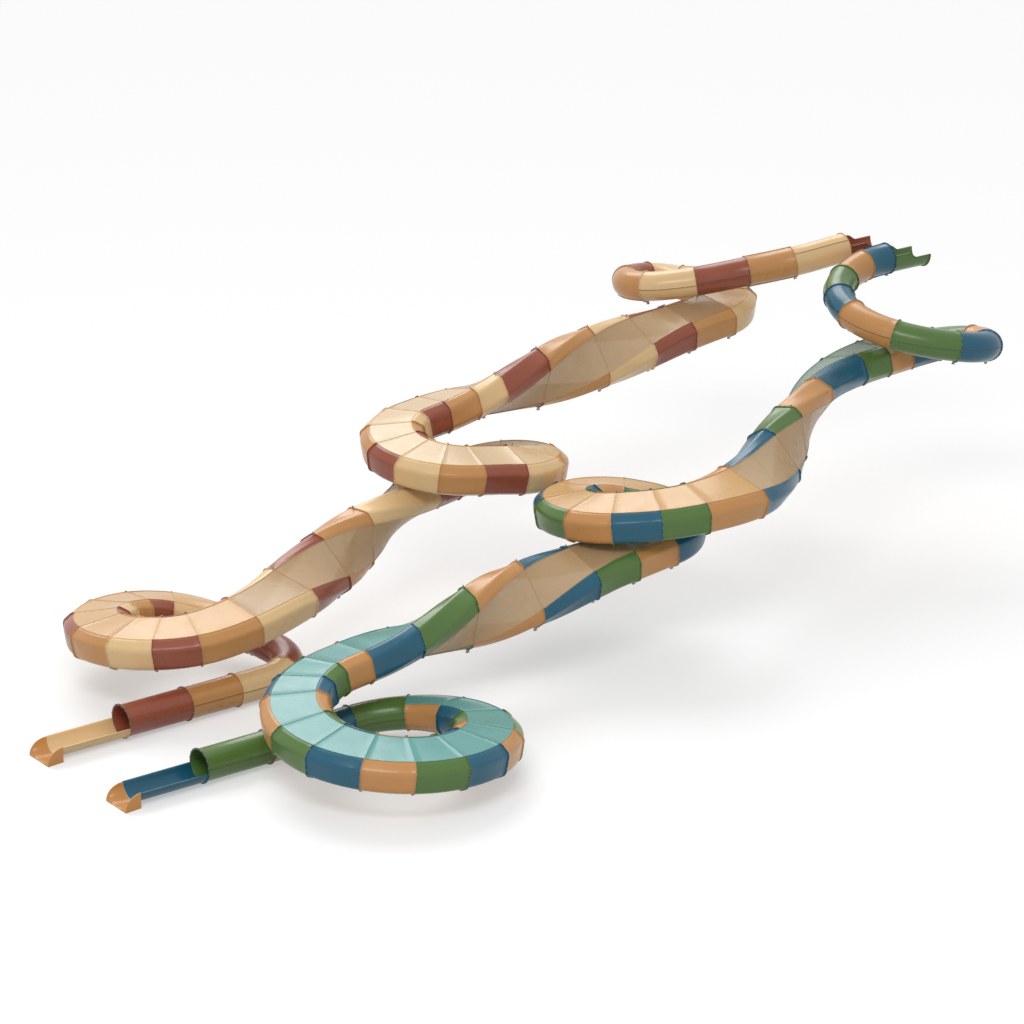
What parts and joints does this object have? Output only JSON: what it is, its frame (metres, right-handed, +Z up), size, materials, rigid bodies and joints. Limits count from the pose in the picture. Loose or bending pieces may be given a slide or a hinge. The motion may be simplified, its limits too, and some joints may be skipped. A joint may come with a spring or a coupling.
{
  "type": "pair of water slide flumes",
  "caption": "Pair of long water slide flumes: an entry trough, bolted tubes, a wide section that rolls from side to side through open loops, and a run-out trough with an end stop each.",
  "frame": {"origin": "middle of the cool flume's end stop, on the floor", "axes": "+X up the run-outs towards the entries, +Y from the cool flume to the warm flume, +Z up"},
  "size_m": [29.8785, 16.4482, 7.5653],
  "materials": {
    "cool_blue": "glossy gelcoat",
    "cool_orange": "glossy gelcoat",
    "cool_green": "glossy gelcoat",
    "warm_cream": "glossy gelcoat",
    "warm_orange": "glossy gelcoat",
    "warm_red": "glossy gelcoat",
    "stop_orange": "glossy gelcoat",
    "cool_panel": "satin gelcoat",
    "warm_panel": "satin gelcoat",
    "pale_panel": "satin gelcoat",
    "clear_panel": "see-through laminate",
    "joint_bolts": "galvanised"
  },
  "bodies": {
    "root": {"cool_end_stop": "stop_orange", "cool_entry_trough": "cool_green", "cool_exit_tube_1": "cool_orange", "cool_lower_drop_1": "cool_blue", "cool_lower_drop_2": "cool_green", "cool_lower_drop_3": "cool_orange", "cool_lower_loop_1": "cool_blue", "cool_lower_loop_2": "cool_green", "cool_lower_loop_3": "cool_orange", "cool_lower_loop_4": "cool_blue", "cool_lower_loop_5": "cool_green", "cool_lower_loop_6": "cool_orange", "cool_lower_loop_7": "cool_blue", "cool_lower_loop_8": "cool_green", "cool_runout_trough": "cool_blue", "cool_turn_tube_1": "cool_blue", "cool_turn_tube_2": "cool_green", "cool_upper_drop_1": "cool_orange", "cool_upper_drop_2": "cool_blue", "cool_upper_drop_3": "cool_green", "cool_upper_loop_1": "cool_orange", "cool_upper_loop_2": "cool_blue", "cool_upper_loop_3": "cool_green", "cool_upper_loop_4": "cool_orange", "cool_upper_tube_1": "cool_blue", "cool_upper_tube_2": "cool_green", "cool_upper_tube_3": "cool_orange", "warm_end_stop": "stop_orange", "warm_entry_trough": "warm_red", "warm_exit_tube_1": "warm_red", "warm_exit_tube_2": "warm_orange", "warm_lower_drop_1": "warm_red", "warm_lower_drop_2": "warm_orange", "warm_lower_drop_3": "warm_cream", "warm_lower_drop_4": "warm_red", "warm_lower_loop_1": "warm_orange", "warm_lower_loop_2": "warm_cream", "warm_lower_loop_3": "warm_red", "warm_lower_loop_4": "warm_orange", "warm_lower_loop_5": "warm_cream", "warm_runout_trough": "warm_cream", "warm_turn_tube_1": "warm_cream", "warm_turn_tube_2": "warm_red", "warm_upper_drop_1": "warm_orange", "warm_upper_drop_2": "warm_cream", "warm_upper_drop_3": "warm_red", "warm_upper_loop_1": "warm_orange", "warm_upper_loop_2": "warm_cream", "warm_upper_loop_3": "warm_red", "warm_upper_loop_4": "warm_orange", "warm_upper_loop_5": "warm_cream", "warm_upper_tube_1": "warm_cream", "warm_upper_tube_2": "warm_red", "warm_upper_tube_3": "warm_orange"}
  },
  "joints": []
}
